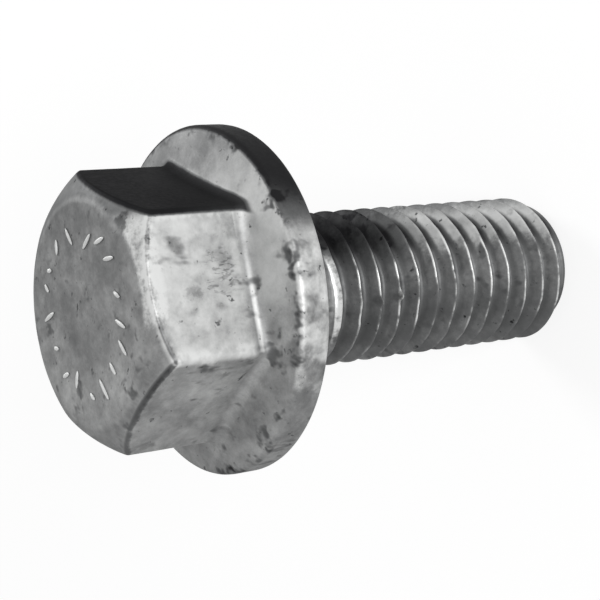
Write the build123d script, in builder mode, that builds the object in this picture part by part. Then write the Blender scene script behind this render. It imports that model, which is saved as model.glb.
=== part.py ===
from build123d import *
import math
import os

# Hex flange bolt, 1/2 in - 13 UNC by 1 1/4 in, threaded to the head.
#
# The bolt stands on its thread end. The origin is the centre of the end face, +Z runs along
# the axis to the head, and two flats of the hexagon face -Y and +Y. Lengths are in millimetres.

# Driving dimensions
INCH = 25.4
length = 1.25 * INCH  # end face to bearing face
thread_diameter = 12.6  # over the crests
pitch = INCH / 13
hex_width = 18.9  # across the flats
head_height = 12.9  # bearing face to the top of the head
flange_diameter = 27.2

# Hexagon and its turned top
hex_corner_radius = 0.5
top_face_radius = 8.2  # flat middle of the top
shoulder_drop = 1.65  # top face down to where the turned shoulder meets the hexagon's corners
shoulder_start_angle = 15  # degrees below level, at the edge of the top face
hex_root_bevel = 0.5  # between the flats and the flange

# Flange
rim_height = 2.6  # bearing face to the upper edge of the rim
cone_angle = 17  # degrees above level, upper side of the flange
rim_upper_bevel = 0.4
rim_lower_bevel = 0.4
bearing_radius = 12.6  # outer edge of the flat that bears on the work
bearing_relief = 0.15  # how far the bevel outside the bearing face stands off the work
head_fillet = 0.8  # between the bearing face and the shank

# Thread: 60 degree profile, flat root and flat crest
flank_angle = 30  # degrees from the plane across the axis
thread_depth = 0.6134 * pitch
root_flat = pitch / 4
first_root_level = 1.62  # groove's centre above the end face where it passes +X
run_out_gap = 4.2  # bearing face to where the groove has climbed out of the shank
run_out_angle = 35  # degrees from the axis, slope of the groove's climb

# Point
point_radius = 4.95  # flat end of the bolt
point_length = 1.5

# Levels and radii worked out from these
top_level = length + head_height
rim_level = length + rim_height
thread_radius = thread_diameter / 2
root_radius = thread_radius - thread_depth
flange_radius = flange_diameter / 2
hex_corner = hex_width / 2 / math.cos(math.radians(30))
cone_rise = math.tan(math.radians(cone_angle))


def groove_section(level):
    """Outline of the thread groove across its run, with its root centred at a level on +X."""
    overrun = 0.15  # the mouth stands clear of the shank but stays short of the next turn
    mouth_radius = thread_radius + overrun
    half_root = root_flat / 2
    half_mouth = half_root + (mouth_radius - root_radius) * math.tan(math.radians(flank_angle))
    return [
        (root_radius, level - half_root),
        (mouth_radius, level - half_mouth),
        (mouth_radius, level + half_mouth),
        (root_radius, level + half_root),
    ]


with BuildPart() as flange_bolt:
    # Forged hexagon, with slightly rounded corners
    with BuildSketch(Plane.XY.offset(length)):
        RegularPolygon(radius=hex_width / 2, side_count=6, major_radius=False)
    extrude(amount=head_height)
    fillet(flange_bolt.edges().filter_by(Axis.Z), radius=hex_corner_radius)

    # The top is turned to a flat face with a domed shoulder, which scallops the six flats
    with BuildSketch(Plane.XZ):
        with BuildLine():
            knee_radius = top_face_radius + 0.5 * (hex_corner - top_face_radius)
            knee_drop = (knee_radius - top_face_radius) * math.tan(math.radians(shoulder_start_angle))
            Polyline((hex_corner, length), (0, length), (0, top_level), (top_face_radius, top_level))
            Bezier(
                (top_face_radius, top_level),
                (knee_radius, top_level - knee_drop),
                (hex_corner, top_level - shoulder_drop),
            )
            Line((hex_corner, top_level - shoulder_drop), (hex_corner, length))
        make_face()
    revolve(axis=Axis.Z, mode=Mode.INTERSECT)

    # Flange: flat bearing face, bevelled rim and conical upper side
    with BuildSketch(Plane.XZ):
        with BuildLine():
            inner_radius = hex_width / 4
            inner_level = rim_level + (flange_radius - inner_radius) * cone_rise
            Polyline(
                (0, length),
                (bearing_radius, length),
                (flange_radius - rim_lower_bevel, length + bearing_relief),
                (flange_radius, length + bearing_relief + rim_lower_bevel),
                (flange_radius, rim_level - rim_upper_bevel),
                (flange_radius - rim_upper_bevel, rim_level + rim_upper_bevel * cone_rise),
                (inner_radius, inner_level),
                (0, inner_level),
                close=True,
            )
        make_face()
    revolve(axis=Axis.Z)
    root_edges = flange_bolt.edges().filter_by_position(Axis.Z, rim_level + 0.5, inner_level - 0.01)
    chamfer(root_edges.filter_by(GeomType.LINE, reverse=True), length=hex_root_bevel)

    # Shank, with a chamfered point and a hollow fillet under the head
    with BuildSketch(Plane.XZ):
        with BuildLine():
            core_level = length + head_fillet
            Polyline(
                (thread_radius, length - head_fillet),
                (thread_radius, point_length),
                (point_radius, 0),
                (0, 0),
                (0, core_level),
                (thread_radius + head_fillet, core_level),
                (thread_radius + head_fillet, length),
            )
            Bezier(
                (thread_radius + head_fillet, length),
                (thread_radius, length),
                (thread_radius, length - head_fillet),
            )
        make_face()
    revolve(axis=Axis.Z)

# Right-hand thread groove: full turns that start below the point
run_out_height = (thread_depth + 0.3) / math.tan(math.radians(run_out_angle))
groove_start = first_root_level - 3 * pitch
full_turns = round((length - run_out_gap - run_out_height - groove_start) / pitch)
run_out_start = groove_start + full_turns * pitch

with BuildPart() as groove:
    with BuildLine():
        Helix(pitch=pitch, height=full_turns * pitch, radius=root_radius, center=(0, 0, groove_start))
    with BuildSketch(Plane.XZ):
        with BuildLine():
            Polyline(groove_section(groove_start), close=True)
        make_face()
    sweep(is_frenet=True)

# Run-out: the last part of a turn climbs out of the shank on a cone
with BuildPart() as run_out:
    with BuildLine():
        Helix(
            pitch=pitch,
            height=run_out_height,
            radius=root_radius,
            center=(0, 0, run_out_start),
            cone_angle=run_out_angle,
        )
    with BuildSketch(Plane.XZ):
        with BuildLine():
            Polyline(groove_section(run_out_start), close=True)
        make_face()
    sweep(is_frenet=True)

with flange_bolt:
    add(groove.part, mode=Mode.SUBTRACT)
with flange_bolt:
    add(run_out.part, mode=Mode.SUBTRACT)

os.makedirs("parts", exist_ok=True)
flange_bolt.part.label = "flange_bolt"
export_step(flange_bolt.part, "parts/flange_bolt.step")
print(flange_bolt.part.volume, flange_bolt.part.bounding_box(), len(flange_bolt.part.solids()))
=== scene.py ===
"""Hot-dip galvanised hexagon flange bolt, 1/2 in - 13 UNC by 1 1/4 in, on a plain pale floor."""

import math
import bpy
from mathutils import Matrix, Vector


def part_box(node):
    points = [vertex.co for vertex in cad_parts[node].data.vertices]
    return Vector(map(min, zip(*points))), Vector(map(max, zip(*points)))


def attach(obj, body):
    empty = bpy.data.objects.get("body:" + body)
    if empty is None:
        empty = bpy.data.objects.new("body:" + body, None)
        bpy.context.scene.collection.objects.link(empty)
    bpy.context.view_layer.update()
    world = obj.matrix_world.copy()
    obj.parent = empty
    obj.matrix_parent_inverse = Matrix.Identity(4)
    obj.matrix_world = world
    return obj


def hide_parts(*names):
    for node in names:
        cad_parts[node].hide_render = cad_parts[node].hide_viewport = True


bl_info = {
    "name": "Galvanised Flange Bolt",
    "version": (1, 0, 0),
    "blender": (4, 5, 0),
    "location": "View3D > Sidebar > Flange Bolt",
    "description": "Makes a hot-dip galvanised flange bolt and a plain stage for it",
    "category": "Object",
}

import bmesh
import bpy
from mathutils import Euler, Vector

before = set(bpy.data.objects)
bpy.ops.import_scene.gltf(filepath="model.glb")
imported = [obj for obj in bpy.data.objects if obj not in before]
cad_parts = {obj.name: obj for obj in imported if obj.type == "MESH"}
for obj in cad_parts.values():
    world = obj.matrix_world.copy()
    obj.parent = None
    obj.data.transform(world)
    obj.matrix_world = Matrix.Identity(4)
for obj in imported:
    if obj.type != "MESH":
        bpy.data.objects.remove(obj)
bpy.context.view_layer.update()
NODE = "flange_bolt"
BOLT_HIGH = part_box(NODE)[1]
MM = 0.001

# Columns of the mesh round the axis. They crowd together at the hexagon's six corners.
COLUMNS = 240
CROWDING = 0.6
# Rows of the mesh in one pitch of thread, and how much they crowd at crest and root
ROWS_PER_PITCH = 16
ROW_CROWDING = 0.55
THREAD_TURNS = 18

# Distances below which neighbouring corners of the mesh are one corner, or a face is empty
WELD = 0.000003
EMPTY = 0.0000005

# Ring of raised strokes on the top face
STROKES = 17
STROKE_RING = 5.8 * MM
STROKE_DEPTH = 0.12 * MM

# The stage: lights as name, place, width and power, all aimed at the bolt's middle
FLOOR_RADIUS = 3.0
AIM = (0.0, 0.0, 0.024)
LIGHTS = (
    ("key", (-0.06, -0.42, 0.20), 0.20, 1.5),
    ("back", (0.30, 0.30, 0.22), 0.16, 0.75),
)
CAMERA_PLACE = (-0.013672, -0.101775, 0.096692)
CAMERA_TURN = (-8.9462, 54.6120, -108.1621)

# Drops of zinc that froze on the thread: angle in degrees, radius, height, size and rise
ZINC_DROPS = (
    (-109.0, 6.2 * MM, 19.55 * MM, 0.55 * MM, 0.45 * MM),
    (-112.0, 6.2 * MM, 21.5 * MM, 0.45 * MM, 0.3 * MM),
    (-60.0, 6.2 * MM, 9.6 * MM, 0.5 * MM, 0.25 * MM),
    (64.0, 6.2 * MM, 14.2 * MM, 0.5 * MM, 0.3 * MM),
)


# ---------------------------------------------------------------- sizes and finish

def length_property(name, description, millimetres):
    """A length that the sidebar shows in the scene's own unit."""
    return bpy.props.FloatProperty(
        name=name, description=description, default=millimetres * MM, min=0.0,
        subtype="DISTANCE", unit="LENGTH",
    )


class BoltSizes(bpy.types.PropertyGroup):
    """Lengths and angles of the bolt."""

    grip: length_property("Length", "End face to bearing face", 31.75)
    thread_diameter: length_property("Thread Diameter", "Over the crests", 12.6)
    pitch: length_property("Pitch", "One turn of the thread", 25.4 / 13)
    crest_level: length_property("Crest Level", "A crest's height above the end face on the +X side", 2.597)
    run_out_level: length_property("Run-out Level", "Where the groove starts to climb out", 25.07)
    neck_level: length_property("Neck Level", "Where the thread's mesh meets the head's", 28.0)
    point_radius: length_property("Point Radius", "Flat end of the bolt", 4.95)
    point_length: length_property("Point Length", "Height of the chamfer at the end", 1.5)
    hex_width: length_property("Hexagon", "Across the flats", 18.9)
    hex_corner_radius: length_property("Corner Radius", "Rounding of the hexagon's corners", 0.55)
    top_face_radius: length_property("Top Face Radius", "Flat middle of the top", 8.2)
    shoulder_drop: length_property("Shoulder Drop", "Top face down to the hexagon's corners", 1.65)
    root_fillet: length_property("Root Fillet", "Hollow between the flats and the flange", 1.0)
    rim_height: length_property("Rim Height", "Bearing face to the upper edge of the rim", 2.6)
    cone_angle: bpy.props.FloatProperty(
        name="Cone Angle", description="Slope of the flange's upper side", default=math.radians(17),
        subtype="ANGLE",
    )
    coat_lump: length_property("Coating Unevenness", "Depth of the zinc coat's lumps", 0.05)
    thread_sway: length_property("Thread Sway", "How far the coat moves the crests along the bolt", 0.5)


class ZincFinish(bpy.types.PropertyGroup):
    """Colours of the zinc coat, which also give the painted light and shade their colour."""

    # The brightest colour, taken by unstained zinc, worn edges and the painted light and highlights
    clean: bpy.props.FloatVectorProperty(
        name="Clean Zinc", description="Coat where nothing stains it", subtype="COLOR", size=3,
        default=(0.62, 0.625, 0.62), min=0.0, max=1.0,
    )
    dull: bpy.props.FloatVectorProperty(
        name="Dull Zinc", description="Weathered patches of the coat", subtype="COLOR", size=3,
        default=(0.115, 0.117, 0.118), min=0.0, max=1.0,
    )
    # The darkest colour, taken by stains, pits and the painted shade
    stain_and_painted_shade: bpy.props.FloatVectorProperty(
        name="Stain", description="Dark stains and pits", subtype="COLOR", size=3,
        default=(0.014, 0.014, 0.015), min=0.0, max=1.0,
    )


# ---------------------------------------------------------------- node arithmetic

class Wire:
    """A node's output that Python arithmetic extends with Math nodes."""

    def __init__(self, bench, socket):
        self.bench = bench
        self.socket = socket

    def __add__(self, other):
        return self.bench.math("ADD", self, other)

    __radd__ = __add__

    def __mul__(self, other):
        return self.bench.math("MULTIPLY", self, other)

    __rmul__ = __mul__

    def __sub__(self, other):
        return self.bench.math("SUBTRACT", self, other)

    def __rsub__(self, other):
        return self.bench.math("SUBTRACT", other, self)

    def __truediv__(self, other):
        return self.bench.math("DIVIDE", self, other)

    def __rtruediv__(self, other):
        return self.bench.math("DIVIDE", other, self)

    def __neg__(self):
        return self.bench.math("MULTIPLY", self, -1.0)

    def __abs__(self):
        return self.bench.math("ABSOLUTE", self)


class Bench:
    """Adds nodes to one shader or geometry tree."""

    def __init__(self, tree):
        self.tree = tree

    def node(self, kind, settings=None, inputs=None):
        """A node of a kind, with its settings made first and then its sockets filled or linked."""
        made = self.tree.nodes.new(kind)
        for name, value in (settings or {}).items():
            setattr(made, name, value)
        for name, value in (inputs or {}).items():
            socket = made.inputs[name]
            if isinstance(value, Wire):
                self.tree.links.new(value.socket, socket)
            else:
                socket.default_value = value
        return made

    def wire(self, made, output=0):
        return Wire(self, made.outputs[output])

    def math(self, operation, *values):
        return self.wire(self.node("ShaderNodeMath", {"operation": operation}, dict(enumerate(values))))

    def vector(self, operation, *values, output=0):
        made = self.node("ShaderNodeVectorMath", {"operation": operation}, dict(enumerate(values)))
        return self.wire(made, output)

    def smooth(self, low, high, value):
        """0 below low, 1 above high, and a soft step between; high may be below low."""
        made = self.node(
            "ShaderNodeMapRange",
            {"interpolation_type": "SMOOTHSTEP"},
            {"Value": value, "From Min": low, "From Max": high, "To Min": 0.0, "To Max": 1.0},
        )
        return self.wire(made)

    def between(self, low, high, soft, value):
        """1 from low to high, fading to 0 over a soft width outside them."""
        return self.smooth(low - soft, low, value) * self.smooth(high + soft, high, value)

    def colour(self, factor, first, second):
        """First colour where the factor is 0 and second where it is 1."""
        settings = {"data_type": "RGBA", "clamp_factor": True}
        values = {0: factor}
        for index, value in ((6, first), (7, second)):
            values[index] = value if isinstance(value, Wire) else (*value, 1.0)
        return self.wire(self.node("ShaderNodeMix", settings, values), 2)

    def noise(self, place, scale, detail=2.0, roughness=0.5, distortion=0.0, seed=0.0):
        made = self.node(
            "ShaderNodeTexNoise",
            {"noise_dimensions": "4D"},
            {
                "Vector": place, "W": seed, "Scale": scale, "Detail": detail,
                "Roughness": roughness, "Distortion": distortion,
            },
        )
        return self.wire(made)


# ---------------------------------------------------------------- the head's mesh

def column_angle(turn):
    """Angle round the axis of a column, given as a fraction of the turn."""
    even = 2 * math.pi * turn
    return even - CROWDING * math.sin(6 * even) / 6


def mix(start, end, share):
    return start + (end - start) * share


def run(start, end, count):
    """Points on the straight from start to end, without start."""
    return [tuple(mix(a, b, step / count) for a, b in zip(start, end)) for step in range(1, count + 1)]


def hollow(start, corner, end, count):
    """Points on the curve that rounds a corner between start and end, without start."""
    points = []
    for step in range(1, count + 1):
        t = step / count
        points.append(tuple(mix(mix(a, b, t), mix(b, c, t), t) for a, b, c in zip(start, corner, end)))
    return points


def hexagon_radius(sizes, angle):
    """Distance from the axis to the hexagon's side, with a corner on +X and its corners rounded."""
    half = sizes.hex_width / 2
    rounding = sizes.hex_corner_radius
    from_corner = abs((angle + math.pi / 6) % (math.pi / 3) - math.pi / 6)
    centre = (half - rounding) / math.cos(math.pi / 6)
    last_angle = math.pi / 6 - math.atan2((half - rounding) * math.tan(math.pi / 6), half)
    if from_corner < last_angle:
        across = centre * math.sin(from_corner)
        return centre * math.cos(from_corner) + math.sqrt(rounding**2 - across**2)
    return half / math.cos(math.pi / 6 - from_corner)


def head_profile(sizes, angle):
    """Outline of the head at one angle, as (radius, height) from beside the top's centre to the neck."""
    top = BOLT_HIGH[2] - 0.14 * MM
    grip = sizes.grip
    face = sizes.top_face_radius
    side = hexagon_radius(sizes, angle)
    slant = side / (sizes.hex_width / 2)
    corner = sizes.hex_width / 2 / math.cos(math.pi / 6)
    flange = BOLT_HIGH[0] - 0.02 * MM
    slope = math.tan(sizes.cone_angle)
    edge = 0.16 * MM
    rise = sizes.root_fillet * 0.72
    rim = 0.42 * MM

    def shoulder(radius):
        """The turned shoulder, shallow beside the top face and steep at the corners."""
        share = (radius - face) / (corner - face)
        return top - sizes.shoulder_drop * (0.42 * share + 0.58 * share * share)

    def cone(radius):
        return grip + sizes.rim_height + (flange - radius) * slope

    points = run((0.0, top), (face - 0.1 * MM, top), 20)
    points += hollow(points[-1], (face, top), (face + 0.1 * MM, shoulder(face + 0.1 * MM)), 3)
    outer = side - edge * slant
    for step in range(1, 10):
        radius = mix(face + 0.1 * MM, outer, step / 9)
        points.append((radius, shoulder(radius)))
    lower_edge = (side, shoulder(side) - edge)
    points += hollow(points[-1], (side, shoulder(side)), lower_edge, 4)
    base = cone(side)
    points += run(lower_edge, (side, base + rise), 18)
    foot = side + rise * math.cos(sizes.cone_angle) * slant
    points += hollow(points[-1], (side, base), (foot, cone(foot)), 8)
    points += run(points[-1], (flange - rim, cone(flange - rim)), 9)
    rim_top = grip + sizes.rim_height
    points += hollow(points[-1], (flange, rim_top), (flange, rim_top - rim), 5)
    points += run(points[-1], (flange, grip + 0.55 * MM), 7)
    points += hollow(points[-1], (flange, grip + 0.12 * MM), (flange - 0.45 * MM, grip + 0.1 * MM), 4)
    points += run(points[-1], (12.6 * MM, grip), 2)
    neck = sizes.thread_diameter / 2
    hollow_radius = 0.8 * MM
    points += run(points[-1], (neck + hollow_radius, grip), 14)
    points += hollow(points[-1], (neck, grip), (neck, grip - hollow_radius), 6)
    points += run(points[-1], (neck, sizes.neck_level), 9)
    return points


def head_mesh(sizes):
    """The head as one open grid, closed at the middle of its top and open at the neck."""
    shape = bmesh.new()
    profiles = []
    for column in range(COLUMNS):
        angle = column_angle(column / COLUMNS)
        ring = head_profile(sizes, angle)
        profiles.append([shape.verts.new((r * math.cos(angle), r * math.sin(angle), z)) for r, z in ring])
    pole = shape.verts.new((0.0, 0.0, profiles[0][0].co.z))
    for column in range(COLUMNS):
        here, there = profiles[column], profiles[(column + 1) % COLUMNS]
        shape.faces.new((pole, here[0], there[0]))
        for row in range(len(here) - 1):
            shape.faces.new((here[row], here[row + 1], there[row + 1], there[row]))
    return shape


def add_zinc_drops(shape, drops):
    """Pushes small drops of zinc out of the surface: (angle in degrees, radius, height, size, rise)."""
    for angle, radius, height, size, rise in drops:
        turn = math.radians(angle)
        middle = Vector((radius * math.cos(turn), radius * math.sin(turn), height))
        for vert in shape.verts:
            gap = (vert.co - middle).length
            if gap < size:
                outward = Vector((vert.co.x, vert.co.y, 0.0)).normalized()
                vert.co += outward * rise * (1 - (gap / size) ** 2) ** 2


# ---------------------------------------------------------------- geometry node trees

def require_closed(shape):
    """Stops the work where an edge of the mesh doesn't have two faces."""
    faults = sum(not edge.is_manifold for edge in shape.edges)
    if faults:
        raise RuntimeError(f"The bolt's mesh is open or doubled at {faults} edges")


def new_geometry_tree(name, sockets):
    """A geometry tree with a Geometry output and these inputs: (name, socket type, default)."""
    tree = bpy.data.node_groups.new(name, "GeometryNodeTree")
    tree.interface.new_socket("Geometry", in_out="OUTPUT", socket_type="NodeSocketGeometry")
    for label, kind, default in sockets:
        socket = tree.interface.new_socket(label, in_out="INPUT", socket_type=kind)
        if default is not None:
            socket.default_value = default
    bench = Bench(tree)
    entry = bench.node("NodeGroupInput")
    inputs = {label: Wire(bench, entry.outputs[label]) for label, kind, default in sockets}
    return tree, bench, inputs


def finish_geometry_tree(tree, bench, geometry, material):
    """Ends a tree in Realize Instances and Set Material."""
    real = bench.wire(bench.node("GeometryNodeRealizeInstances", None, {"Geometry": geometry}))
    coated = bench.wire(bench.node("GeometryNodeSetMaterial", None, {"Geometry": real, "Material": material}))
    bench.node("NodeGroupOutput", None, {"Geometry": coated})
    return tree


def thread_tree():
    """A right-hand 60 degree thread with its chamfered point, closed at the end face and open at the neck."""
    tree, bench, given = new_geometry_tree(
        "Rolled Thread",
        [
            ("Columns", "NodeSocketInt", COLUMNS),
            ("Rows", "NodeSocketInt", 16 * ROWS_PER_PITCH),
            ("Pitch", "NodeSocketFloat", 0.00195),
            ("Radius", "NodeSocketFloat", 0.0063),
            ("Crest Level", "NodeSocketFloat", 0.0026),
            ("Run-out Level", "NodeSocketFloat", 0.025),
            ("Neck Level", "NodeSocketFloat", 0.028),
            ("Point Radius", "NodeSocketFloat", 0.00495),
            ("Point Length", "NodeSocketFloat", 0.0015),
            ("Material", "NodeSocketMaterial", None),
        ],
    )
    pitch, radius = given["Pitch"], given["Radius"]
    grid = bench.node(
        "GeometryNodeMeshGrid",
        None,
        {"Size X": 1.0, "Size Y": 1.0, "Vertices X": given["Columns"] + 1, "Vertices Y": given["Rows"] + 1},
    )
    position = bench.wire(bench.node("GeometryNodeInputPosition"))
    place = bench.node("ShaderNodeSeparateXYZ", None, {0: position})
    even = (bench.wire(place, 0) + 0.5) * (2 * math.pi)
    angle = even - bench.math("SINE", even * 6.0) * (CROWDING / 6)
    turn = angle / (2 * math.pi)

    # Rows follow the helix. They crowd at crests and roots, and those past either end pile up there.
    raw_row = (bench.wire(place, 1) + 0.5) * given["Rows"] / ROWS_PER_PITCH - 4.0
    row = raw_row - bench.math("SINE", raw_row * (4 * math.pi)) * (ROW_CROWDING / (4 * math.pi))
    free_level = given["Crest Level"] + pitch * (row + turn)
    level = bench.math("MINIMUM", bench.math("MAXIMUM", free_level, 0.0), given["Neck Level"])
    at_neck = bench.math("GREATER_THAN", free_level, given["Neck Level"] - 0.00001)
    level = level + (given["Neck Level"] - level) * at_neck

    # The nearest groove: flat root, 30 degree flanks, and a bottom that climbs out near the head
    root_radius = radius - pitch * 0.6134
    along = (level - given["Crest Level"]) / pitch - turn - 0.5
    whole = bench.math("ROUND", along)
    groove_level = given["Crest Level"] + pitch * (whole + turn + 0.5)
    climb = bench.math("MAXIMUM", groove_level - given["Run-out Level"], 0.0) * math.tan(math.radians(35))
    from_centre = abs(along - whole) * pitch
    flank = bench.math("SMOOTH_MAX", from_centre - pitch * 0.125, 0.0, 0.00005)
    groove = root_radius + climb + flank / math.tan(math.radians(30))
    threaded = bench.math("SMOOTH_MIN", radius, groove, 0.00012)

    # Chamfered point with a rounded edge, and an end face that closes on the axis
    chamfer = given["Point Radius"] + level * (radius - given["Point Radius"]) / given["Point Length"]
    pointed = bench.math("SMOOTH_MIN", threaded, chamfer, 0.0003)
    edge = 0.0004
    below = bench.math("MAXIMUM", 1.0 - level / edge, 0.0)
    rounded = pointed - edge * (1.0 - bench.math("SQRT", 1.0 - below * below))
    inward = bench.math("MAXIMUM", 1.0 + bench.math("MINIMUM", free_level, 0.0) / (pitch * 1.2), 0.0)
    reach = rounded * inward
    reach = reach * bench.math("GREATER_THAN", reach, 0.00015)
    around = bench.node(
        "ShaderNodeCombineXYZ",
        None,
        {0: reach * bench.math("COSINE", angle), 1: reach * bench.math("SINE", angle), 2: level},
    )
    moved = bench.node(
        "GeometryNodeSetPosition", None, {"Geometry": bench.wire(grid), "Position": bench.wire(around)}
    )
    welded = bench.node(
        "GeometryNodeMergeByDistance", None, {"Geometry": bench.wire(moved), "Distance": 0.000002}
    )
    return finish_geometry_tree(tree, bench, bench.wire(welded), given["Material"])


def coat_tree():
    """The zinc coat's unevenness: lumps and fine grain that only ever sink below the true surface."""
    tree, bench, given = new_geometry_tree(
        "Uneven Zinc Coat",
        [
            ("Geometry", "NodeSocketGeometry", None),
            ("Depth", "NodeSocketFloat", 0.00005),
            ("Sway", "NodeSocketFloat", 0.0005),
            ("Seed", "NodeSocketFloat", 3.0),
            ("Material", "NodeSocketMaterial", None),
        ],
    )
    place = bench.wire(bench.node("GeometryNodeInputPosition"))
    normal = bench.wire(bench.node("GeometryNodeInputNormal"))
    lumps = bench.noise(place, 420.0, 2.0, 0.55, 0.0, given["Seed"])
    grain = bench.noise(place, 1500.0, 1.0, 0.5, 0.0, given["Seed"] + 5.0)
    sink = given["Depth"] * (lumps * 0.75 + grain * 0.25)
    sunk = bench.wire(bench.node("ShaderNodeVectorMath", {"operation": "SCALE"}, {0: normal, "Scale": -sink}))
    height = bench.wire(bench.node("ShaderNodeSeparateXYZ", None, {0: place}), 2)
    on_thread = bench.smooth(0.001, 0.003, height) * bench.smooth(0.0305, 0.0275, height)
    sway = (bench.noise(place, 380.0, 2.0, 0.5, 0.0, given["Seed"] + 9.0) - 0.5) * on_thread * given["Sway"]
    wavy = bench.wire(bench.node("ShaderNodeCombineXYZ", None, {2: sway}))
    offset = bench.vector("ADD", sunk, wavy)
    moved = bench.node(
        "GeometryNodeSetPosition", None, {"Geometry": given["Geometry"], "Offset": offset}
    )
    return finish_geometry_tree(tree, bench, bench.wire(moved), given["Material"])


def marks_tree():
    """Short raised strokes that stand in a ring on the top face."""
    tree, bench, given = new_geometry_tree(
        "Raised Strokes",
        [
            ("Count", "NodeSocketInt", 15),
            ("Ring Radius", "NodeSocketFloat", 0.0058),
            ("Level", "NodeSocketFloat", 0.0445),
            ("Seed", "NodeSocketInt", 4),
            ("Material", "NodeSocketMaterial", None),
        ],
    )
    ring = bench.node(
        "GeometryNodeMeshCircle", None, {"Vertices": given["Count"], "Radius": given["Ring Radius"]}
    )
    position = bench.wire(bench.node("GeometryNodeInputPosition"))
    place = bench.node("ShaderNodeSeparateXYZ", None, {0: position})
    facing = bench.math("ARCTAN2", bench.wire(place, 1), bench.wire(place, 0))
    apart = bench.node(
        "FunctionNodeRandomValue",
        {"data_type": "FLOAT_VECTOR"},
        {"Min": (-0.5 * MM, -0.5 * MM, 0.0), "Max": (0.5 * MM, 0.5 * MM, 0.0), "Seed": given["Seed"] + 7},
    )
    spread = bench.node(
        "GeometryNodeSetPosition", None, {"Geometry": bench.wire(ring), "Offset": bench.wire(apart)}
    )
    bead = bench.node("GeometryNodeMeshUVSphere", None, {"Segments": 16, "Rings": 8, "Radius": 0.12 * MM})
    jitter = bench.node(
        "FunctionNodeRandomValue", {"data_type": "FLOAT"}, {"Min": -0.9, "Max": 0.9, "Seed": given["Seed"]}
    )
    size = bench.node(
        "FunctionNodeRandomValue", {"data_type": "FLOAT"}, {"Min": 2.8, "Max": 8.0, "Seed": given["Seed"] + 3}
    )
    turned = bench.node("ShaderNodeCombineXYZ", None, {2: facing + bench.wire(jitter, 1)})
    length = bench.node("ShaderNodeCombineXYZ", None, {0: bench.wire(size, 1), 1: 1.5, 2: 1.0})
    strokes = bench.node(
        "GeometryNodeInstanceOnPoints",
        None,
        {"Points": bench.wire(spread), "Instance": bench.wire(bead), "Rotation": bench.wire(turned),
         "Scale": bench.wire(length)},
    )
    lift = bench.node("ShaderNodeCombineXYZ", None, {2: given["Level"]})
    raised = bench.node(
        "GeometryNodeTransform", None, {"Geometry": bench.wire(strokes), "Translation": bench.wire(lift)}
    )
    return finish_geometry_tree(tree, bench, bench.wire(raised), given["Material"])


def grown(name, tree, values, mesh=None):
    """The plain mesh that a geometry tree makes, with its inputs set by their identifiers."""
    holder = bpy.data.objects.new(name, mesh or bpy.data.meshes.new(name))
    bpy.context.scene.collection.objects.link(holder)
    modifier = holder.modifiers.new(tree.name, "NODES")
    modifier.node_group = tree
    for item in tree.interface.items_tree:
        if item.in_out == "INPUT" and item.name in values:
            modifier[item.identifier] = values[item.name]
    view = bpy.context.evaluated_depsgraph_get()
    view.update()
    result = bpy.data.meshes.new_from_object(holder.evaluated_get(view), depsgraph=view)
    holder.modifiers.remove(modifier)
    bpy.data.objects.remove(holder)
    if not result.vertices:
        raise RuntimeError(tree.name + " made no mesh")
    result.name = name
    return result


# ---------------------------------------------------------------- materials

def new_material(name):
    material = bpy.data.materials.new(name)
    material.use_nodes = True
    material.node_tree.nodes.clear()
    return material, Bench(material.node_tree)


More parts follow.
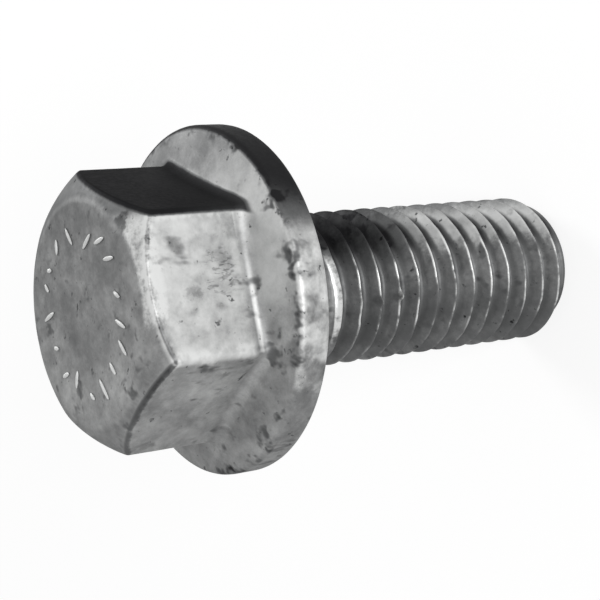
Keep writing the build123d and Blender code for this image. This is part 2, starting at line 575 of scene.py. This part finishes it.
def zinc_material(finish):
    """Matt hot-dip zinc: mottled and worn bright on edges and crests, with painted light and painted
    highlights on the -Y side and painted shade on the +X side, in the grooves and over one flat.
    """
    material, bench = new_material("galvanised_zinc")
    metres = bench.wire(bench.node("ShaderNodeTexCoord"), "Object")
    scaled = bench.node("ShaderNodeVectorMath", {"operation": "SCALE"}, {0: metres, "Scale": 1 / MM})
    place = bench.wire(scaled)
    parts = bench.node("ShaderNodeSeparateXYZ", None, {0: place})
    x, y, z = (bench.wire(parts, index) for index in range(3))
    radius = bench.math("SQRT", x * x + y * y)

    def toward(degrees):
        """Distance from the axis along one direction across it."""
        return x * math.cos(math.radians(degrees)) + y * math.sin(math.radians(degrees))

    def apart(first, second, at_first, at_second):
        """Distance from a point in the plane of two coordinates."""
        along, across = first - at_first, second - at_second
        return bench.math("SQRT", along * along + across * across)

    broad = bench.noise(place, 0.22, 3.0, 0.55, 0.3, 1.0)
    mottle = bench.noise(place, 0.8, 3.0, 0.55, 0.15, 2.0)
    speck = bench.noise(place, 3.2, 2.0, 0.6, 0.1, 3.0)
    grain = bench.noise(place, 7.0, 1.0, 0.5, 0.0, 4.0)
    drift = (mottle - 0.5) * 3.0 + (speck - 0.5) * 1.2

    # Where on the bolt a point is
    on_top = bench.smooth(44.25, 44.42, z)
    on_head = bench.smooth(35.9, 36.6, z)
    on_cone = bench.between(34.42, 36.2, 0.15, z) * bench.smooth(9.6, 10.4, radius)
    on_rim = bench.smooth(13.1, 13.4, radius)
    on_shank = bench.smooth(31.0, 30.8, z)
    painted_light_flat = on_head * bench.smooth(8.9, 9.3, toward(-90)) * (1.0 - on_top)
    painted_shade_flat = bench.between(9.25, 9.75, 0.28, toward(-30) + drift * 0.05) * bench.smooth(34.95, 35.25, z)

    # Tone of the coat, from stains at 0 to bright zinc at 1, with painted light and painted shade added into
    # it by position on the bolt
    tone = 0.54 + (broad - 0.5) * 0.30 + (mottle - 0.5) * 0.24 + (speck - 0.5) * 0.11 + (grain - 0.5) * 0.05
    # Painted light: the -Y flat is made lighter, more so towards the top face.
    tone = tone + painted_light_flat * (0.185 + (z - 40.0) * 0.007 + (mottle - 0.5) * 0.25)
    # Painted light and shade on the cone: lighter from x -5 to 1 upward, darker again beyond x 5.
    tone = tone + on_cone * (0.01 + bench.smooth(-5.0, 1.0, x) * 0.15 - bench.smooth(5.0, 11.0, x) * 0.19)
    # Painted light on the rim's -Y side, mottled, and painted shade on its +X side.
    rim_painted_light = bench.between(-5.5, 1.5, 3.5, x + drift) * bench.smooth(-6.0, -11.0, y)
    rim_painted_shade = bench.smooth(1.0, 7.5, x + drift) * 0.52
    tone = tone + on_rim * (rim_painted_light * (0.19 + (mottle - 0.5) * 0.8) - 0.03 - rim_painted_shade)
    shoulder = (1.0 - on_top) * bench.smooth(42.6, 43.2, z)
    # Painted light on the shoulder beside the -Y flat, speckled; painted shade on the rest of the shoulder
    # towards +X; painted light on the top face towards -X.
    shoulder_painted_light = shoulder * bench.between(-1.5, 4.8, 1.4, x + drift * 0.5) * bench.smooth(-4.0, -6.0, y)
    rest_of_shoulder = shoulder * (1.0 - shoulder_painted_light)
    tone = tone + shoulder_painted_light * (0.20 + (speck - 0.5) * 0.5)
    tone = tone - rest_of_shoulder * (0.02 + bench.smooth(-2.0, 5.0, x) * 0.10)
    tone = tone + on_top * (-0.02 + bench.smooth(1.0, -7.0, x) * 0.05)

    # The flat at -150 degrees, painted a little lighter as painted light; in the hollow at its foot a painted
    # highlight, with painted shade just outside it
    lower_flat = on_head * bench.smooth(8.9, 9.3, toward(-150)) * (1.0 - on_top)
    tone = tone + lower_flat * 0.045
    low_hollow_painted_light_shade = bench.between(9.6, 10.0, 0.2, toward(-150)) - bench.between(10.3, 11.0, 0.5, toward(-150))
    tone = tone + low_hollow_painted_light_shade * bench.between(34.6, 36.3, 0.2, z) * bench.between(-14.0, -3.5, 1.5, x) * 0.02

    # Thread: painted shade in the grooves, on the +X side and under the flange, painted light in a strip on
    # the -Y side, and crests lighter all round as wear and much lighter on the -Y side as painted highlight
    # Painted shade in the grooves, deeper inside the painted light strip.
    groove = on_shank * bench.smooth(5.75, 5.25, radius)
    # Painted light: a strip of the thread on the -Y side, below z 15 to 21, is made lighter.
    thread_painted_light_strip = bench.between(2.6, 4.2, 1.8, x + drift * 0.8) * bench.smooth(0.0, -2.0, y)
    thread_painted_light_strip = thread_painted_light_strip * bench.smooth(21.0, 15.0, z + drift * 0.8)
    # Painted shade: the +X side of the thread above z 14 to 20 is made nearly black.
    thread_painted_shade_side = bench.smooth(-0.5, 3.5, x + drift * 0.2) * on_shank
    thread_painted_shade_side = thread_painted_shade_side * bench.smooth(14.0, 20.0, z + drift * 0.3)
    # Painted shade: the -X side of the thread is made a little darker.
    thread_painted_shade_under = on_shank * bench.smooth(-1.5, -5.0, x)
    tone = tone + on_shank * (thread_painted_light_strip * 0.25 - 0.07) - groove * (0.07 + thread_painted_light_strip * 0.48)
    tone = tone - thread_painted_shade_side * 0.36 - thread_painted_shade_under * 0.04
    # Crests: a little lighter all round as wear, and much lighter on the -Y side as painted highlight.
    facing = bench.between(-3.6, 1.2, 1.6, x + drift * 0.3) * bench.smooth(0.0, -2.0, y)
    crest = on_shank * bench.smooth(6.13, 6.22, radius) * (0.12 + facing * 0.88)
    crest = crest * bench.smooth(0.40, 0.60, mottle * 0.6 + broad * 0.4) * (1.0 - thread_painted_shade_side)
    crest = crest * (0.55 + bench.smooth(8.0, 20.0, z) * 0.45)
    tone = tone + crest * (0.62 - bench.smooth(24.6, 25.2, z) * bench.smooth(0.44, 0.60, speck) * 0.25)
    # Painted shade under the flange, mottled, on the thread beside the neck.
    neck = bench.between(27.2, 31.6, 0.4, z) * bench.smooth(7.4, 6.9, radius)
    tone = tone - neck * (0.15 + bench.smooth(0.40, 0.60, mottle) * 0.35)

    # Stains, streaks, pits and worn patches, a darker line along the upper edge of the flat at -150 degrees,
    # and painted shade along the upper edge of the -Y flat and over the flat facing -30 degrees
    streak_place = bench.vector("MULTIPLY", place, (1.0, 1.0, 0.6))
    streak = bench.noise(streak_place, 0.8, 2.0, 0.55, 0.2, 7.0)
    stains = bench.smooth(0.56, 0.74, streak) * bench.smooth(0.42, 0.58, broad)
    pits = bench.smooth(0.64, 0.76, bench.noise(place, 1.5, 2.0, 0.5, 0.4, 9.0))
    pits = pits * bench.smooth(0.40, 0.6, speck)
    edge_dirt = bench.between(34.15, 34.6, 0.3, z) * bench.smooth(12.5, 13.1, radius)
    edge_dirt = edge_dirt * bench.smooth(0.50, 0.68, streak)
    share = bench.math("MAXIMUM", radius - 8.2, 0.0) / 2.71
    below_edge = 44.51 - (share * 0.42 + share * share * 0.58) * 1.65 - z
    lip = bench.smooth(0.34, 0.05, below_edge + drift * 0.16) * on_head
    wide_lip = bench.smooth(0.80, 0.20, below_edge + drift * 0.10) * on_head
    # Painted shade: a dark line along the upper edge of the -Y flat, laid over that edge's highlight.
    flat_edge_painted_shade = (lip * 0.45 + wide_lip * 0.30) * bench.smooth(9.22, 9.38, toward(-90))
    # A darker line along the upper edge of the flat at -150 degrees, stronger towards -X.
    lower_lip = lip * bench.smooth(9.08, 9.32, toward(-150) + drift * 0.05)
    lower_lip = lower_lip * (0.45 + bench.smooth(-10.0, -5.5, x) * 0.55)
    fine_streak = bench.noise(bench.vector("MULTIPLY", place, (1.0, 1.0, 0.4)), 3.0, 2.0, 0.6, 0.3, 12.0)
    worn = bench.smooth(0.50, 0.62, fine_streak) * painted_light_flat
    patch = bench.smooth(2.2, 0.8, apart(x, z, 0.5, 38.1) + drift)
    spot = bench.smooth(0.8, 0.3, apart(x, z, -0.7, 40.4) - drift)
    nick = bench.smooth(0.9, 0.3, apart(x, y, 4.9, -6.9) - drift)
    tone = tone - worn * patch * 0.15 - painted_light_flat * spot * 0.14 - nick * shoulder * 0.30
    tone = tone - stains * 0.26 - pits * 0.42 - edge_dirt * 0.34 - flat_edge_painted_shade * 0.42 - lower_lip * 0.40
    # Painted shade: the flat facing -30 degrees is painted almost black, a little lighter towards the flange.
    painted_shade_tone = 0.02 + (broad - 0.5) * 0.12 + bench.smooth(7.5, 4.5, x) * 0.03
    painted_shade_tone = painted_shade_tone + bench.smooth(41.0, 36.0, z) * 0.07
    tone = tone * (1.0 - painted_shade_flat) + painted_shade_tone * painted_shade_flat

    # Bright lines: a painted highlight along the hollow under the -Y flat, stronger towards -X, the hexagon's
    # corners worn bright here and there, and a painted highlight on the raised strokes
    hollow_painted_highlight = bench.between(35.75, 35.85, 0.22, z) * bench.between(9.44, 9.7, 0.12, toward(-90))
    tone = tone + hollow_painted_highlight * (0.02 + bench.smooth(3.0, -3.0, x) * 0.16)
    corner = on_head * bench.smooth(10.45, 10.62, radius) * bench.smooth(0.48, 0.64, mottle)
    corner = corner * (1.0 - painted_shade_flat)
    # Painted highlight: the raised strokes are painted lighter.
    raised = bench.smooth(44.545, 44.575, z)
    tone = tone + corner * 0.10 + raised * 0.30
    low = bench.colour(bench.smooth(0.0, 0.42, tone), tuple(finish.stain_and_painted_shade), tuple(finish.dull))
    base = bench.colour(bench.smooth(0.36, 0.92, tone), low, tuple(finish.clean))

    height = mottle * 0.45 + speck * 0.35 + grain * 0.2 - pits * 0.35
    bump = bench.node("ShaderNodeBump", None, {"Strength": 0.3, "Distance": 0.000045, "Height": height})
    surface = bench.node(
        "ShaderNodeBsdfPrincipled",
        None,
        {
            "Base Color": base,
            "Metallic": 0.75 + bench.math("MAXIMUM", painted_shade_flat, thread_painted_shade_side) * 0.23,
            "Roughness": 0.58 - crest * 0.22 + (speck - 0.5) * 0.3,
            "Specular Tint": (0.55, 0.55, 0.55, 1.0),
            "Normal": bench.wire(bump),
        },
    )
    bench.node("ShaderNodeOutputMaterial", None, {"Surface": bench.wire(surface)})
    return material


def floor_material():
    """Plain white floor that still shows a soft shadow."""
    material, bench = new_material("white_floor")
    path = bench.node("ShaderNodeLightPath")
    seen = bench.math("MAXIMUM", bench.wire(path, "Is Camera Ray"), bench.wire(path, "Is Glossy Ray"))
    seen = bench.math("MAXIMUM", seen, bench.wire(path, "Is Transmission Ray"))
    plain = bench.node("ShaderNodeBsdfDiffuse", None, {"Color": (0.8, 0.8, 0.8, 1.0)})
    shade = bench.node("ShaderNodeBsdfDiffuse", None, {"Color": (0.3, 0.3, 0.3, 1.0)})
    glow = bench.node("ShaderNodeEmission", None, {"Color": (1.0, 1.0, 1.0, 1.0), "Strength": 0.78})
    white = bench.node("ShaderNodeAddShader", None, {0: bench.wire(shade), 1: bench.wire(glow)})
    both = bench.node("ShaderNodeMixShader", None, {0: seen, 1: bench.wire(plain), 2: bench.wire(white)})
    bench.node("ShaderNodeOutputMaterial", None, {"Surface": bench.wire(both)})
    return material


def studio_world():
    """Even grey light, seen and mirrored as plain white."""
    world = bpy.data.worlds.new("studio")
    world.use_nodes = True
    world.node_tree.nodes.clear()
    bench = Bench(world.node_tree)
    path = bench.node("ShaderNodeLightPath")
    seen = bench.math("MAXIMUM", bench.wire(path, "Is Camera Ray"), bench.wire(path, "Is Glossy Ray"))
    seen = bench.math("MAXIMUM", seen, bench.wire(path, "Is Transmission Ray"))
    light = bench.node("ShaderNodeBackground", None, {"Color": (0.8, 0.8, 0.8, 1.0), "Strength": 0.4})
    white = bench.node("ShaderNodeBackground", None, {"Color": (1.0, 1.0, 1.0, 1.0), "Strength": 1.0})
    both = bench.node("ShaderNodeMixShader", None, {0: seen, 1: bench.wire(light), 2: bench.wire(white)})
    bench.node("ShaderNodeOutputWorld", None, {"Surface": bench.wire(both)})
    return world


# ---------------------------------------------------------------- operators

class MakeBolt(bpy.types.Operator):
    """Make the bolt: head, thread and uneven zinc coat, as one closed piece"""

    bl_idname = "flange_bolt.make_bolt"
    bl_label = "Make Bolt"

    def execute(self, context):
        sizes = context.scene.bolt_sizes
        zinc = zinc_material(context.scene.zinc_finish)
        thread = grown(
            "thread",
            thread_tree(),
            {
                "Columns": COLUMNS, "Rows": THREAD_TURNS * ROWS_PER_PITCH, "Pitch": sizes.pitch,
                "Radius": sizes.thread_diameter / 2, "Crest Level": sizes.crest_level,
                "Run-out Level": sizes.run_out_level, "Neck Level": sizes.neck_level,
                "Point Radius": sizes.point_radius, "Point Length": sizes.point_length, "Material": zinc,
            },
        )
        shape = head_mesh(sizes)
        shape.from_mesh(thread)
        bmesh.ops.remove_doubles(shape, verts=shape.verts, dist=WELD)
        bmesh.ops.dissolve_degenerate(shape, edges=shape.edges, dist=EMPTY)
        bmesh.ops.recalc_face_normals(shape, faces=shape.faces)
        require_closed(shape)
        add_zinc_drops(shape, ZINC_DROPS)
        whole = bpy.data.meshes.new("bolt")
        shape.to_mesh(whole)
        shape.free()
        coated = grown(
            "bolt",
            coat_tree(),
            {"Depth": sizes.coat_lump, "Sway": sizes.thread_sway, "Seed": 3.0, "Material": zinc},
            whole,
        )
        marks = grown(
            "marks",
            marks_tree(),
            {
                "Count": STROKES, "Ring Radius": STROKE_RING, "Level": BOLT_HIGH[2] - STROKE_DEPTH,
                "Seed": 4, "Material": zinc,
            },
        )
        shape = bmesh.new()
        shape.from_mesh(coated)
        for face in shape.faces:
            face.smooth = True
        shape.from_mesh(marks)
        for face in shape.faces:
            face.material_index = 0
        require_closed(shape)
        shape.to_mesh(coated)
        shape.free()
        coated.materials.clear()
        coated.materials.append(zinc)
        bolt = bpy.data.objects.new("bolt", coated)
        context.scene.collection.objects.link(bolt)
        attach(bolt, "root")
        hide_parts(NODE)
        return {"FINISHED"}


class MakeStage(bpy.types.Operator):
    """Make the floor, the lights, the world and the camera"""

    bl_idname = "flange_bolt.make_stage"
    bl_label = "Make Stage"

    def execute(self, context):
        scene = context.scene
        shape = bmesh.new()
        bmesh.ops.create_circle(shape, cap_ends=True, radius=FLOOR_RADIUS, segments=64)
        floor_mesh = bpy.data.meshes.new("floor")
        shape.to_mesh(floor_mesh)
        shape.free()
        floor_mesh.materials.append(floor_material())
        floor = bpy.data.objects.new("floor", floor_mesh)
        scene.collection.objects.link(floor)

        scene.world = studio_world()

        for name, place, width, power in LIGHTS:
            light = bpy.data.lights.new(name, "AREA")
            light.shape = "DISK"
            light.size = width
            light.energy = power
            lamp = bpy.data.objects.new(name, light)
            lamp.location = place
            lamp.rotation_euler = (Vector(place) - Vector(AIM)).to_track_quat("Z", "Y").to_euler()
            scene.collection.objects.link(lamp)

        view = bpy.data.cameras.new("camera")
        view.sensor_width = 36.0
        view.lens = 93.0
        view.clip_start = 0.005
        camera = bpy.data.objects.new("camera", view)
        camera.location = CAMERA_PLACE
        camera.rotation_euler = Euler([math.radians(turn) for turn in CAMERA_TURN], "XYZ")
        scene.collection.objects.link(camera)
        scene.camera = camera
        scene.view_settings.view_transform = "Standard"
        return {"FINISHED"}


class BoltPanel(bpy.types.Panel):
    """Sidebar panel with the bolt's sizes, finish and operators"""

    bl_idname = "VIEW3D_PT_flange_bolt"
    bl_label = "Flange Bolt"
    bl_space_type = "VIEW_3D"
    bl_region_type = "UI"
    bl_category = "Flange Bolt"

    def draw(self, context):
        for group in (context.scene.bolt_sizes, context.scene.zinc_finish):
            column = self.layout.column()
            for name in group.__annotations__:
                column.prop(group, name)
        self.layout.operator(MakeBolt.bl_idname)
        self.layout.operator(MakeStage.bl_idname)


CLASSES = (BoltSizes, ZincFinish, MakeBolt, MakeStage, BoltPanel)


def register():
    for cls in CLASSES:
        bpy.utils.register_class(cls)
    bpy.types.Scene.bolt_sizes = bpy.props.PointerProperty(type=BoltSizes)
    bpy.types.Scene.zinc_finish = bpy.props.PointerProperty(type=ZincFinish)


def unregister():
    del bpy.types.Scene.zinc_finish
    del bpy.types.Scene.bolt_sizes
    for cls in reversed(CLASSES):
        bpy.utils.unregister_class(cls)


def main():
    register()
    bpy.ops.flange_bolt.make_bolt()
    bpy.ops.flange_bolt.make_stage()


if __name__ == "__main__":
    main()
